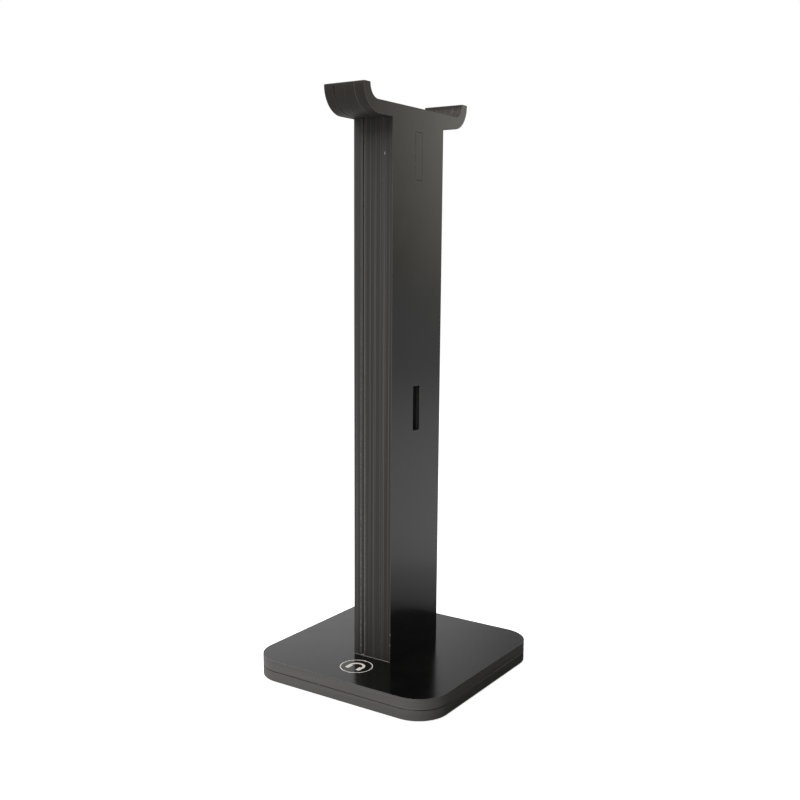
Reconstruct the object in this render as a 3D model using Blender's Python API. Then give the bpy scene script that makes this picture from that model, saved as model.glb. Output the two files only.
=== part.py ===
"""Headphone stand cut from black acrylic sheet.

Two square sheets bonded face to face make the base. Four sheets of one outline, bonded
side by side, make the upright and the cradle on top of it. The two middle sheets reach
down as a tenon into the base, where two screws from below hold them.

Metres, +Z up. The origin is on the floor under the middle of the base, -Y is the front,
and the sheets of the upright lie side by side along X.
"""

import math

import bmesh
import bpy

# ---- stock and clearance -------------------------------------------------------------
SHEET = 0.0049              # thickness of the acrylic that every flat piece is cut from
GAP = 0.0003                # glue line or clearance between neighbouring pieces
ARRIS = 0.0002              # width of the broken edge round every sheet

# ---- base ----------------------------------------------------------------------------
BASE_SIDE = 0.100
BASE_CORNER_RADIUS = 0.015

# ---- upright and cradle --------------------------------------------------------------
POST_DEPTH = 0.0412         # front to back
POST_HEIGHT = 0.2445        # from the base to the underside of the cradle
CRADLE_LENGTH = 0.0834      # front to back, over both lips
CRADLE_FLOOR = 0.0057       # thickness of the cradle under the headband
LIP_RISE = 0.0061           # height of a lip above the cradle floor
LIP_THICKNESS = 0.0047      # at the top of a lip
LIP_CORNER_RADIUS = 0.0005
TENON_LENGTH = 0.030        # front to back

# ---- slots through the upright -------------------------------------------------------
KEY_LENGTH = 0.020          # height of the locating key; both slots suit it
KEY_BELOW_CRADLE = 0.0044   # from the cradle's underside to the top of the key's slot
CABLE_SLOT_HEIGHT = 0.1175  # from the base to the middle of the cable slot

# ---- feet ----------------------------------------------------------------------------
FOOT_DIAMETER = 0.012
FOOT_PROUD = 0.0008         # how far the feet hold the base off the table
FOOT_POCKET_DEPTH = 0.0006
FOOT_ROUND = 0.0003         # broken edge of a foot
FOOT_EDGE_DISTANCE = 0.014  # from the side of the base to the middle of a foot

# ---- screws and inserts --------------------------------------------------------------
SCREW_DIAMETER = 0.004
SCREW_LENGTH = 0.014        # over all, countersunk head included
SCREW_HEAD_SHOULDER = 0.00175   # how far the countersunk head stands out round the shank
SCREW_HEAD_RIM = 0.0003     # straight band round the countersunk head
SCREW_HEAD_DEPTH = 0.0002   # from the base's underside up to the head
SCREW_TIP_CHAMFER = 0.0005
SOCKET_ACROSS_FLATS = 0.0025
SOCKET_DEPTH = 0.0014
SCREW_SPACING = 0.016       # between the two screws, front to back
INSERT_WALL = 0.0007
INSERT_LENGTH = 0.008

# ---- emblem --------------------------------------------------------------------------
EMBLEM_POST_DISTANCE = 0.0048   # from the upright's front to the emblem's edge
EMBLEM_RADIUS = 0.0077
EMBLEM_RING_WIDTH = 0.0007
EMBLEM_THICKNESS = 0.0005
GLYPH_BAND_RADIUS = 0.0041      # outside of the headband in the headphone sign
GLYPH_BAND_WIDTH = 0.0013
GLYPH_PAD_WIDTH = 0.0022
GLYPH_PAD_HEIGHT = 0.0036

# ---- smoothness ----------------------------------------------------------------------
CORNER_STEPS = 12           # segments in a quarter turn of the base's corners
LIP_STEPS = 10              # segments in a quarter turn of a lip
SMALL_STEPS = 3             # segments in a quarter turn of a lip's small corners
ROUND_STEPS = 32            # segments round a turned piece
RING_STEPS = 56             # segments round the emblem's ring
GLYPH_STEPS = 20            # segments along the sign's headband
SMOOTH_ANGLE = math.radians(35)
MERGE_DISTANCE = 1e-6

# ---- heights and places that follow from the sizes above -----------------------------
BASE_UNDERSIDE = FOOT_PROUD
LOWER_SHEET_TOP = BASE_UNDERSIDE + SHEET
UPPER_SHEET_BOTTOM = LOWER_SHEET_TOP + GAP
BASE_TOP = UPPER_SHEET_BOTTOM + SHEET
CRADLE_UNDERSIDE = BASE_TOP + POST_HEIGHT
CRADLE_FLOOR_TOP = CRADLE_UNDERSIDE + CRADLE_FLOOR
LIP_TOP = CRADLE_FLOOR_TOP + LIP_RISE
SLOT_WIDTH = SHEET + 2 * GAP
SLOT_LENGTH = KEY_LENGTH + 2 * GAP
KEY_MIDDLE = CRADLE_UNDERSIDE - KEY_BELOW_CRADLE - SLOT_LENGTH / 2
CABLE_SLOT_MIDDLE = BASE_TOP + CABLE_SLOT_HEIGHT
UPRIGHT_SHEETS = (
    "upright_left_sheet",
    "upright_middle_left_sheet",
    "upright_middle_right_sheet",
    "upright_right_sheet",
)
UPRIGHT_THICKNESS = len(UPRIGHT_SHEETS) * SHEET + (len(UPRIGHT_SHEETS) - 1) * GAP
TENON_THICKNESS = 2 * SHEET + GAP
SCREW_RADIUS = SCREW_DIAMETER / 2
SCREW_HEAD_RADIUS = SCREW_RADIUS + SCREW_HEAD_SHOULDER
SCREW_HEAD_FACE = BASE_UNDERSIDE + SCREW_HEAD_DEPTH
SCREW_TIP = SCREW_HEAD_FACE + SCREW_LENGTH
INSERT_BOTTOM = UPPER_SHEET_BOTTOM
EMBLEM_Y = -(POST_DEPTH / 2 + EMBLEM_POST_DISTANCE + EMBLEM_RADIUS)
FOOT_PLACE = BASE_SIDE / 2 - FOOT_EDGE_DISTANCE
CUT_OVERRUN = 0.002         # how far a cutter reaches past the face that it opens


# ---- helpers -------------------------------------------------------------------------
def clear_scene():
    """Start from an empty scene."""
    for thing in list(bpy.data.objects):
        bpy.data.objects.remove(thing, do_unlink=True)


def make_material(name, colour, roughness, metallic):
    """A plain Principled material for one piece."""
    material = bpy.data.materials.new(name)
    material.use_nodes = True
    shader = material.node_tree.nodes["Principled BSDF"]
    shader.inputs["Base Color"].default_value = (*colour, 1.0)
    shader.inputs["Roughness"].default_value = roughness
    shader.inputs["Metallic"].default_value = metallic
    return material


def add_object(name, shape):
    """Turn a bmesh into a smooth-shaded object of the scene."""
    bmesh.ops.recalc_face_normals(shape, faces=shape.faces)
    mesh = bpy.data.meshes.new(name)
    shape.to_mesh(mesh)
    shape.free()
    mesh.shade_smooth()
    mesh.set_sharp_from_angle(angle=SMOOTH_ANGLE)
    thing = bpy.data.objects.new(name, mesh)
    bpy.context.scene.collection.objects.link(thing)
    return thing


def add_piece(name, shape, finish, cutters=()):
    """A piece of the stand: its object, its material and what is cut out of it."""
    piece = add_object(name, shape)
    piece.data.materials.append(make_material(name, *finish))
    for cutter in cutters:
        cut = piece.modifiers.new(cutter.name, "BOOLEAN")
        cut.operation = "DIFFERENCE"
        cut.solver = "EXACT"
        cut.object = cutter
    return piece


def add_cutter(name, shape):
    """A shape that only cuts others, and is not a piece itself."""
    cutter = add_object(name, shape)
    cutter.hide_render = True
    cutter.display_type = "WIRE"
    return cutter


def arc(middle, radius, start, end, steps):
    """Points along a circular arc, with its angles in degrees."""
    points = []
    for step in range(steps + 1):
        angle = math.radians(start + (end - start) * step / steps)
        points.append((middle[0] + radius * math.cos(angle), middle[1] + radius * math.sin(angle)))
    return points


def box(low, high):
    """A block between two corners."""
    shape = bmesh.new()
    bmesh.ops.create_cube(shape, size=1.0)
    sizes = [high[axis] - low[axis] for axis in range(3)]
    middle = [(high[axis] + low[axis]) / 2 for axis in range(3)]
    bmesh.ops.scale(shape, vec=sizes, verts=shape.verts)
    bmesh.ops.translate(shape, vec=middle, verts=shape.verts)
    return shape


def thicken(shape, face, shift):
    """Pull a flat face out into a plate."""
    pulled = bmesh.ops.extrude_face_region(shape, geom=[face])
    moved = [part for part in pulled["geom"] if isinstance(part, bmesh.types.BMVert)]
    bmesh.ops.translate(shape, vec=shift, verts=moved)
    return shape


def break_edges(shape, axis, width):
    """Bevel the edges round both flat faces that look along the axis (0, 1 or 2)."""
    shape.normal_update()
    flats = [face for face in shape.faces if abs(face.normal[axis]) > 0.99]
    edges = list({edge for face in flats for edge in face.edges})
    bmesh.ops.bevel(
        shape, geom=edges, offset=width, offset_type="OFFSET", segments=1,
        profile=0.5, affect="EDGES", material=-1,
    )
    return shape


def plate_across(outline, x_low, x_high):
    """A plate standing on edge, from an outline of (y, z) points."""
    shape = bmesh.new()
    corners = [shape.verts.new((x_low, y, z)) for y, z in outline]
    return thicken(shape, shape.faces.new(corners), (x_high - x_low, 0, 0))


def plate_flat(outline, z_low, z_high):
    """A plate lying flat, from an outline of (x, y) points."""
    shape = bmesh.new()
    corners = [shape.verts.new((x, y, z_low)) for x, y in outline]
    return thicken(shape, shape.faces.new(corners), (0, 0, z_high - z_low))


def turned(profile, place, closed=False, steps=ROUND_STEPS):
    """A shape turned about a vertical axis at place, from (radius, z) points."""
    shape = bmesh.new()
    points = [shape.verts.new((radius, 0, z)) for radius, z in profile]
    edges = [shape.edges.new(pair) for pair in zip(points, points[1:])]
    if closed:
        edges.append(shape.edges.new((points[-1], points[0])))
    bmesh.ops.spin(
        shape, geom=points + edges, cent=(0, 0, 0), axis=(0, 0, 1),
        angle=math.tau, steps=steps, use_merge=True,
    )
    bmesh.ops.remove_doubles(shape, verts=shape.verts, dist=MERGE_DISTANCE)
    bmesh.ops.translate(shape, vec=(place[0], place[1], 0), verts=shape.verts)
    return shape


def cylinder(radius, z_low, z_high, place, steps=ROUND_STEPS):
    """A plain round bar standing at place."""
    return turned([(0, z_low), (radius, z_low), (radius, z_high), (0, z_high)], place, steps=steps)


# ---- outlines and profiles -----------------------------------------------------------
def base_sheet(z_low, z_high):
    """A square sheet with round corners and broken edges."""
    shape = bmesh.new()
    bmesh.ops.create_grid(shape, x_segments=1, y_segments=1, size=BASE_SIDE / 2)
    bmesh.ops.bevel(
        shape, geom=list(shape.verts), offset=BASE_CORNER_RADIUS, offset_type="OFFSET",
        segments=CORNER_STEPS, profile=0.5, affect="VERTICES", material=-1,
    )
    bmesh.ops.translate(shape, vec=(0, 0, z_low), verts=shape.verts)
    shape.faces.ensure_lookup_table()
    thicken(shape, shape.faces[0], (0, 0, z_high - z_low))
    return break_edges(shape, 2, ARRIS)


def upright_outline(has_tenon):
    """The (y, z) outline of a sheet of the upright, with the cradle and its two lips."""
    half_length = CRADLE_LENGTH / 2
    outer_radius = CRADLE_FLOOR + LIP_RISE - LIP_CORNER_RADIUS
    inner_radius = LIP_RISE - LIP_CORNER_RADIUS
    corner = LIP_CORNER_RADIUS
    corner_z = LIP_TOP - corner
    inner_wall = half_length - LIP_THICKNESS
    shoulder = BASE_TOP + GAP
    half = []
    if has_tenon:
        half.append((TENON_LENGTH / 2, UPPER_SHEET_BOTTOM))
        half.append((TENON_LENGTH / 2, shoulder))
    half.append((POST_DEPTH / 2, shoulder))
    half.append((POST_DEPTH / 2, CRADLE_UNDERSIDE))
    outer_middle = (half_length - outer_radius, CRADLE_UNDERSIDE + outer_radius)
    half += arc(outer_middle, outer_radius, -90, 0, LIP_STEPS)[:-1]
    half += arc((half_length - corner, corner_z), corner, 0, 90, SMALL_STEPS)
    half += arc((inner_wall + corner, corner_z), corner, 90, 180, SMALL_STEPS)
    half += arc((inner_wall - inner_radius, corner_z), inner_radius, 0, -90, LIP_STEPS)[1:]
    return half + [(-y, z) for y, z in reversed(half)]


def glyph_outline():
    """The (x, y) outline of a plain headphone sign: a half-round band and two pads."""
    pad_top = EMBLEM_Y
    pad_bottom = pad_top - GLYPH_PAD_HEIGHT
    pad_inner = GLYPH_BAND_RADIUS - GLYPH_PAD_WIDTH
    band_inner = GLYPH_BAND_RADIUS - GLYPH_BAND_WIDTH
    outline = arc((0, EMBLEM_Y), GLYPH_BAND_RADIUS, 0, 180, GLYPH_STEPS)
    outline += [(-GLYPH_BAND_RADIUS, pad_bottom), (-pad_inner, pad_bottom), (-pad_inner, pad_top)]
    outline += arc((0, EMBLEM_Y), band_inner, 180, 0, GLYPH_STEPS)
    outline += [(pad_inner, pad_top), (pad_inner, pad_bottom), (GLYPH_BAND_RADIUS, pad_bottom)]
    return outline


def screw_profile(grow):
    """Half section of a countersunk screw, grown all round by a clearance for its hole."""
    head = SCREW_HEAD_RADIUS + grow
    shank = SCREW_RADIUS + grow
    cone_start = SCREW_HEAD_FACE + SCREW_HEAD_RIM + grow * (math.sqrt(2) - 1)
    return [(head, cone_start), (shank, cone_start + head - shank)]


def screw_shape(place):
    """A countersunk screw standing on its head."""
    profile = [(0, SCREW_HEAD_FACE), (SCREW_HEAD_RADIUS, SCREW_HEAD_FACE)]
    profile += screw_profile(0)
    profile.append((SCREW_RADIUS, SCREW_TIP - SCREW_TIP_CHAMFER))
    profile.append((SCREW_RADIUS - SCREW_TIP_CHAMFER, SCREW_TIP))
    profile.append((0, SCREW_TIP))
    return turned(profile, place)


def screw_hole_cutter(name, place):
    """The countersunk hole through the base's lower sheet."""
    start, end = screw_profile(GAP)
    below = BASE_UNDERSIDE - CUT_OVERRUN
    above = LOWER_SHEET_TOP + CUT_OVERRUN
    profile = [(0, below), (start[0], below), start, end, (end[0], above), (0, above)]
    return add_cutter(name, turned(profile, place))


def slot_cutter(name, middle_height):
    """A slot across the whole upright, as wide as the sheet is thick."""
    reach = UPRIGHT_THICKNESS / 2 + CUT_OVERRUN
    low = (-reach, -SLOT_WIDTH / 2, middle_height - SLOT_LENGTH / 2)
    high = (reach, SLOT_WIDTH / 2, middle_height + SLOT_LENGTH / 2)
    return add_cutter(name, box(low, high))


# ---- finishes: colour, roughness, metallic -------------------------------------------
BLACK_ACRYLIC = ((0.014, 0.013, 0.012), 0.14, 0.0)
PALE_INLAY = ((0.76, 0.74, 0.68), 0.45, 0.0)
BLACK_RUBBER = ((0.02, 0.02, 0.02), 0.75, 0.0)
BRASS = ((0.72, 0.50, 0.20), 0.30, 1.0)
BLACK_STEEL = ((0.05, 0.05, 0.055), 0.38, 1.0)


# ---- pieces --------------------------------------------------------------------------
def build_feet():
    """Four rubber pads, each in a shallow pocket; returns the pocket cutters."""
    pockets = []
    top = FOOT_PROUD + FOOT_POCKET_DEPTH - GAP
    radius = FOOT_DIAMETER / 2
    for depth_name, y in (("front", -FOOT_PLACE), ("rear", FOOT_PLACE)):
        for side_name, x in (("left", -FOOT_PLACE), ("right", FOOT_PLACE)):
            name = "foot_" + depth_name + "_" + side_name
            profile = [(0, 0), (radius - FOOT_ROUND, 0), (radius, FOOT_ROUND), (radius, top), (0, top)]
            add_piece(name, turned(profile, (x, y)), BLACK_RUBBER)
            pocket_top = BASE_UNDERSIDE + FOOT_POCKET_DEPTH
            pocket_low = BASE_UNDERSIDE - CUT_OVERRUN
            pocket = cylinder(radius + GAP, pocket_low, pocket_top, (x, y))
            pockets.append(add_cutter("pocket_" + name, pocket))
    return pockets


def build_screws_and_inserts():
    """Two countersunk screws and their brass inserts; returns hole and bore cutters."""
    holes = []
    bores = []
    socket_radius = SOCKET_ACROSS_FLATS / math.sqrt(3)
    socket_low = SCREW_HEAD_FACE - CUT_OVERRUN
    insert_top = INSERT_BOTTOM + INSERT_LENGTH
    insert_inner = SCREW_RADIUS + GAP
    insert_outer = insert_inner + INSERT_WALL
    bore_top = max(insert_top, SCREW_TIP) + GAP
    for end, y in (("front", -SCREW_SPACING / 2), ("rear", SCREW_SPACING / 2)):
        place = (0, y)
        socket = cylinder(socket_radius, socket_low, SCREW_HEAD_FACE + SOCKET_DEPTH, place, steps=6)
        socket_tool = add_cutter("socket_" + end, socket)
        add_piece("post_screw_" + end, screw_shape(place), BLACK_STEEL, [socket_tool])
        tube = [
            (insert_inner, INSERT_BOTTOM),
            (insert_outer, INSERT_BOTTOM),
            (insert_outer, insert_top),
            (insert_inner, insert_top),
        ]
        add_piece("threaded_insert_" + end, turned(tube, place, closed=True), BRASS)
        holes.append(screw_hole_cutter("screw_hole_" + end, place))
        bore = cylinder(insert_outer + GAP, INSERT_BOTTOM - CUT_OVERRUN, bore_top, place)
        bores.append(add_cutter("insert_bore_" + end, bore))
    return holes, bores


def build_emblem():
    """A ring and a headphone sign let into the base; returns the pocket cutters."""
    bottom = BASE_TOP - EMBLEM_THICKNESS
    pocket_bottom = bottom - GAP
    pocket_top = BASE_TOP + CUT_OVERRUN
    place = (0, EMBLEM_Y)
    inner = EMBLEM_RADIUS - EMBLEM_RING_WIDTH
    ring = [(inner, bottom), (EMBLEM_RADIUS, bottom), (EMBLEM_RADIUS, BASE_TOP), (inner, BASE_TOP)]
    add_piece("emblem_ring", turned(ring, place, closed=True, steps=RING_STEPS), PALE_INLAY)
    add_piece("emblem_sign", plate_flat(glyph_outline(), bottom, BASE_TOP), PALE_INLAY)
    groove = [
        (inner - GAP, pocket_bottom),
        (EMBLEM_RADIUS + GAP, pocket_bottom),
        (EMBLEM_RADIUS + GAP, pocket_top),
        (inner - GAP, pocket_top),
    ]
    ring_pocket = turned(groove, place, closed=True, steps=RING_STEPS)
    half_width = GLYPH_BAND_RADIUS + GAP
    low = (-half_width, EMBLEM_Y - GLYPH_PAD_HEIGHT - GAP, pocket_bottom)
    high = (half_width, EMBLEM_Y + half_width, pocket_top)
    return [add_cutter("ring_pocket", ring_pocket), add_cutter("sign_pocket", box(low, high))]


def build_base(foot_pockets, screw_holes, emblem_pockets):
    """The two bonded sheets of the base."""
    tenon_x = TENON_THICKNESS / 2 + GAP
    tenon_y = TENON_LENGTH / 2 + GAP
    mortise = box(
        (-tenon_x, -tenon_y, UPPER_SHEET_BOTTOM - CUT_OVERRUN),
        (tenon_x, tenon_y, BASE_TOP + CUT_OVERRUN),
    )
    mortise_cutter = add_cutter("mortise", mortise)
    lower = base_sheet(BASE_UNDERSIDE, LOWER_SHEET_TOP)
    add_piece("base_lower_sheet", lower, BLACK_ACRYLIC, foot_pockets + screw_holes)
    upper = base_sheet(UPPER_SHEET_BOTTOM, BASE_TOP)
    add_piece("base_upper_sheet", upper, BLACK_ACRYLIC, [mortise_cutter] + emblem_pockets)


def build_upright(insert_bores):
    """Four sheets side by side; the two in the middle carry the tenon."""
    slots = [slot_cutter("cable_slot", CABLE_SLOT_MIDDLE), slot_cutter("key_slot", KEY_MIDDLE)]
    last = len(UPRIGHT_SHEETS) - 1
    for number, name in enumerate(UPRIGHT_SHEETS):
        x_low = -UPRIGHT_THICKNESS / 2 + number * (SHEET + GAP)
        is_middle = 0 < number < last
        sheet = plate_across(upright_outline(is_middle), x_low, x_low + SHEET)
        break_edges(sheet, 0, ARRIS)
        add_piece(name, sheet, BLACK_ACRYLIC, slots + (insert_bores if is_middle else []))


def build_key():
    """The locating key, cut from the same sheet, which lines the four sheets up."""
    half_x = UPRIGHT_THICKNESS / 2
    low = (-half_x, -SHEET / 2, KEY_MIDDLE - KEY_LENGTH / 2)
    high = (half_x, SHEET / 2, KEY_MIDDLE + KEY_LENGTH / 2)
    add_piece("locating_key", box(low, high), BLACK_ACRYLIC)


clear_scene()
pocket_cutters = build_feet()
hole_cutters, bore_cutters = build_screws_and_inserts()
emblem_cutters = build_emblem()
build_base(pocket_cutters, hole_cutters, emblem_cutters)
build_upright(bore_cutters)
build_key()
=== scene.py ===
import math

import bmesh
import bpy
from mathutils import Matrix, Vector


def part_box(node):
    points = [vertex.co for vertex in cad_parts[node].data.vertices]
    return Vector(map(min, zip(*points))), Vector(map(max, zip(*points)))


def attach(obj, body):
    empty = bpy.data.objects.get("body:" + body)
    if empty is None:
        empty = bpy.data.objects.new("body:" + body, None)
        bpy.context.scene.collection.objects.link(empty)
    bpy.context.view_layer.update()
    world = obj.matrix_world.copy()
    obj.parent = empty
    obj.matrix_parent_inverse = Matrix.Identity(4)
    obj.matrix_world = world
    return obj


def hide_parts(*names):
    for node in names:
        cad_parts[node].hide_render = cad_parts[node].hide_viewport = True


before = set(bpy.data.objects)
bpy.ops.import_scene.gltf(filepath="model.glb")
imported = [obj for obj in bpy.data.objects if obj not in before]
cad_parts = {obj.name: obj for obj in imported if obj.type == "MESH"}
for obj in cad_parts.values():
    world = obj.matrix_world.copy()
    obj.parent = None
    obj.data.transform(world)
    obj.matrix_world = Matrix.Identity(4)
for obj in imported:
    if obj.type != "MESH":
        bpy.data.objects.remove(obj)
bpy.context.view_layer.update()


# ---- Camera ----
# The stand is seen from its front right, a little above, with the lens shifted up slightly
# so that the whole height of the stand sits well in the frame.
CAMERA_PLACE = (0.26298, -0.39545, 0.19569)
CAMERA_TURN = math.radians(33.485)
CAMERA_DIP = math.radians(10.514)
CAMERA_ROLL = math.radians(0.423)

camera_data = bpy.data.cameras.new("camera")
camera_data.sensor_width = 36.0
camera_data.lens = 46.117
camera_data.shift_y = 0.0625
camera_data.clip_start = 0.01
camera_data.clip_end = 40.0
camera = bpy.data.objects.new("camera", camera_data)
camera.matrix_world = (
    Matrix.Translation(CAMERA_PLACE)
    @ Matrix.Rotation(CAMERA_TURN, 4, "Z")
    @ Matrix.Rotation(math.pi / 2 - CAMERA_DIP, 4, "X")
    @ Matrix.Rotation(CAMERA_ROLL, 4, "Z")
)
bpy.context.scene.collection.objects.link(camera)
bpy.context.scene.camera = camera
bpy.context.scene.view_settings.view_transform = "Standard"


# ---- Studio ----
# A white room around a pale floor, with one soft box to the front left and one overhead.
# The room is white to look at, but polished faces see it grey, as they see a real studio.
MIX_SHARE, MIX_FIRST, MIX_SECOND, MIX_RESULT = 0, 6, 7, 2


def feed(tree, socket, value):
    """Joins a socket to another node's, or sets it to a plain value."""
    if isinstance(value, bpy.types.NodeSocket):
        tree.links.new(value, socket)
    elif value is not None:
        socket.default_value = value


def new_node(tree, kind, inputs=None, **settings):
    """A node with its settings made and its inputs fed, each by name or number."""
    made = tree.nodes.new(kind)
    for name, value in settings.items():
        setattr(made, name, value)
    for name, value in (inputs or {}).items():
        feed(tree, made.inputs[name], value)
    return made


def remap(tree, value, low=0.0, high=1.0, to_low=0.0, to_high=1.0, **settings):
    """How far a value lies from low to high, spread over another range."""
    limits = {"From Min": low, "From Max": high, "To Min": to_low, "To Max": to_high}
    return new_node(tree, "ShaderNodeMapRange", {"Value": value, **limits}, **settings).outputs[0]


def maths(tree, operation, *values):
    made = new_node(tree, "ShaderNodeMath", operation=operation)
    for socket, value in zip(made.inputs, values):
        feed(tree, socket, value)
    return made.outputs[0]


def blend_colour(tree, share, first, second, kind="MIX"):
    """A mix of two colours, each of them a plain colour or another node's."""
    made = new_node(tree, "ShaderNodeMix", data_type="RGBA", blend_type=kind)
    feed(tree, made.inputs[MIX_SHARE], share)
    for socket, colour in ((MIX_FIRST, first), (MIX_SECOND, second)):
        feed(tree, made.inputs[socket], (*colour, 1.0) if isinstance(colour, tuple) else colour)
    return made.outputs[MIX_RESULT]


def ramp(tree, share, stops):
    """A ramp of greys; each stop has its place, its level and sometimes a green and blue share."""
    made = new_node(tree, "ShaderNodeValToRGB", {"Fac": share})
    made.color_ramp.interpolation = "EASE"
    elements = made.color_ramp.elements
    while len(elements) < len(stops):
        elements.new(0.5)
    for element, (place, level, *tint) in zip(elements, stops):
        element.position = place
        green, blue = tint or (1.0, 1.0)
        element.color = (level, level * green, level * blue, 1.0)
    return made.outputs["Color"]


def compass(degrees):
    """Where a direction lies on the room's ramps: 0 degrees is the back, 90 the right."""
    return (degrees + 180.0) / 360.0


def height_of(degrees):
    """How high a direction points, from 0 at the horizon to 1 straight up."""
    return math.sin(math.radians(degrees))


WARM = (0.965, 0.86)
LOW_WALL = (
    (compass(-178), 0.28, *WARM),
    (compass(-140), 0.28, *WARM),
    (compass(-90), 0.70),
    (compass(-33), 0.80),
    (compass(4), 1.30, *WARM),
    (compass(28), 1.90, *WARM),
    (compass(36), 0.60, *WARM),
    (compass(44), 0.25, *WARM),
    (compass(60), 0.07),
    (compass(115), 0.07),
    (compass(148), 0.80),
    (compass(178), 0.40),
)
HIGH_WALL = (
    (compass(-178), 0.35),
    (compass(-140), 0.35),
    (compass(-90), 0.80),
    (compass(-50), 0.95),
    (compass(-38), 0.84),
    (compass(-31), 0.62),
    (compass(-26), 0.30),
    (compass(-12), 0.22),
    (compass(40), 0.25),
    (compass(70), 0.07),
    (compass(115), 0.09),
    (compass(150), 0.45),
)
LOW_TO_HIGH = (height_of(9), height_of(17))
HORIZON_TOP = height_of(6.8)
HORIZON_SHARE = 0.55
CEILING_RISE = (height_of(19.5), height_of(23.5))
CEILING_SHARES = (1.25, 0.72)
MATT_SHARE = 0.30

room = bpy.data.worlds.new("room")
room.use_nodes = True
tree = room.node_tree
tree.nodes.clear()
direction = new_node(tree, "ShaderNodeTexCoord").outputs["Generated"]
split = new_node(tree, "ShaderNodeSeparateXYZ", {"Vector": direction}).outputs
round_room = remap(tree, maths(tree, "ARCTAN2", split["X"], split["Y"]), -math.pi, math.pi)
low_share = remap(tree, split["Z"], 0.0, HORIZON_TOP, HORIZON_SHARE, 1.0)
low_level = blend_colour(tree, 1.0, ramp(tree, round_room, LOW_WALL), low_share, "MULTIPLY")
high_share = remap(tree, split["Z"], *CEILING_RISE, *CEILING_SHARES)
high_level = blend_colour(tree, 1.0, ramp(tree, round_room, HIGH_WALL), high_share, "MULTIPLY")
rise = remap(tree, split["Z"], *LOW_TO_HIGH, interpolation_type="SMOOTHSTEP")
wall = blend_colour(tree, rise, low_level, high_level)
ray = new_node(tree, "ShaderNodeLightPath").outputs
seen = blend_colour(tree, ray["Is Camera Ray"], wall, (1.0, 1.0, 1.0))
matt_dim = remap(tree, ray["Is Diffuse Ray"], to_low=1.0, to_high=MATT_SHARE)
sky = new_node(tree, "ShaderNodeBackground", {"Color": seen, "Strength": matt_dim})
new_node(tree, "ShaderNodeOutputWorld", {"Surface": sky.outputs[0]})
bpy.context.scene.world = room


def soft_box(name, place, aim, wide, high, watts):
    data = bpy.data.lights.new(name, "AREA")
    data.shape = "RECTANGLE"
    data.size = wide
    data.size_y = high
    data.energy = watts
    data.color = (1.0, 0.985, 0.96)
    lamp = bpy.data.objects.new(name, data)
    lamp.location = place
    lamp.rotation_euler = (Vector(aim) - Vector(place)).to_track_quat("-Z", "Y").to_euler()
    lamp.visible_camera = False
    bpy.context.scene.collection.objects.link(lamp)


soft_box(
    "front_box", place=(-0.10, -0.73, 1.00), aim=(0.0, 0.0, 0.10), wide=0.95, high=0.90, watts=14.0
)
soft_box(
    "overhead_box", place=(-0.25, -0.10, 1.4), aim=(0.0, 0.0, 0.0), wide=0.8, high=0.8, watts=4.0
)

FLOOR_REACH = 9.0
floor_mesh = bpy.data.meshes.new("floor")
bm = bmesh.new()
bmesh.ops.create_circle(bm, cap_ends=True, segments=96, radius=FLOOR_REACH)
bmesh.ops.recalc_face_normals(bm, faces=bm.faces[:])
bm.to_mesh(floor_mesh)
bm.free()
floor = bpy.data.objects.new("floor", floor_mesh)
bpy.context.scene.collection.objects.link(floor)

# The floor is white to look at, with the stand's own soft shadow. To the stand it is a pale table
# that glows, with a painted shadow close by; it is bright further out and dims again far away.
SHADE_MIDDLE = (0.033, 0.014, 0.0)
SHADE_TURN = math.radians(-33.4)
SHADE_UNIT = 0.05
SHADE_REACH = 60.0
SHADE_LEVELS = (
    (0.9 / SHADE_REACH, 0.03),
    (1.25 / SHADE_REACH, 0.16),
    (1.7 / SHADE_REACH, 0.40),
    (2.6 / SHADE_REACH, 0.58),
    (3.5 / SHADE_REACH, 0.88),
    (5.0 / SHADE_REACH, 0.95),
    (30.0 / SHADE_REACH, 0.52),
)
TABLE_MATT_SHARE = 0.75
FLOOR_GLOW = 0.91
FLOOR_MATT = 0.80

floor_paint = bpy.data.materials.new("floor_paint")
floor_paint.use_nodes = True
tree = floor_paint.node_tree
tree.nodes.clear()
floor_place = new_node(tree, "ShaderNodeTexCoord").outputs["Object"]
shade_fit = new_node(
    tree, "ShaderNodeMapping",
    {
        "Vector": floor_place,
        "Location": SHADE_MIDDLE,
        "Rotation": (0.0, 0.0, SHADE_TURN),
        "Scale": (SHADE_UNIT, SHADE_UNIT, SHADE_UNIT),
    },
    vector_type="TEXTURE",
)
shade_far = new_node(tree, "ShaderNodeVectorMath", {"Vector": shade_fit.outputs[0]}, operation="LENGTH")
# Painted shadow: the table's glow is least close round the base.
shade = ramp(tree, remap(tree, shade_far.outputs["Value"], 0.0, SHADE_REACH), SHADE_LEVELS)
ray = new_node(tree, "ShaderNodeLightPath").outputs
table_dim = remap(tree, ray["Is Diffuse Ray"], to_low=1.0, to_high=TABLE_MATT_SHARE)
table_glow = new_node(tree, "ShaderNodeEmission", {"Strength": maths(tree, "MULTIPLY", shade, table_dim)})
seen_glow = new_node(tree, "ShaderNodeEmission", {"Color": (FLOOR_GLOW, FLOOR_GLOW, FLOOR_GLOW, 1.0)})
seen_matt = new_node(tree, "ShaderNodeBsdfDiffuse", {"Color": (FLOOR_MATT, FLOOR_MATT, FLOOR_MATT, 1.0)})
seen_floor = new_node(tree, "ShaderNodeAddShader", {0: seen_glow.outputs[0], 1: seen_matt.outputs[0]})
floor_kind = new_node(
    tree, "ShaderNodeMixShader",
    {0: ray["Is Camera Ray"], 1: table_glow.outputs[0], 2: seen_floor.outputs[0]},
)
floor_side = new_node(tree, "ShaderNodeNewGeometry")
floor_clear = new_node(tree, "ShaderNodeBsdfTransparent")
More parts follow.
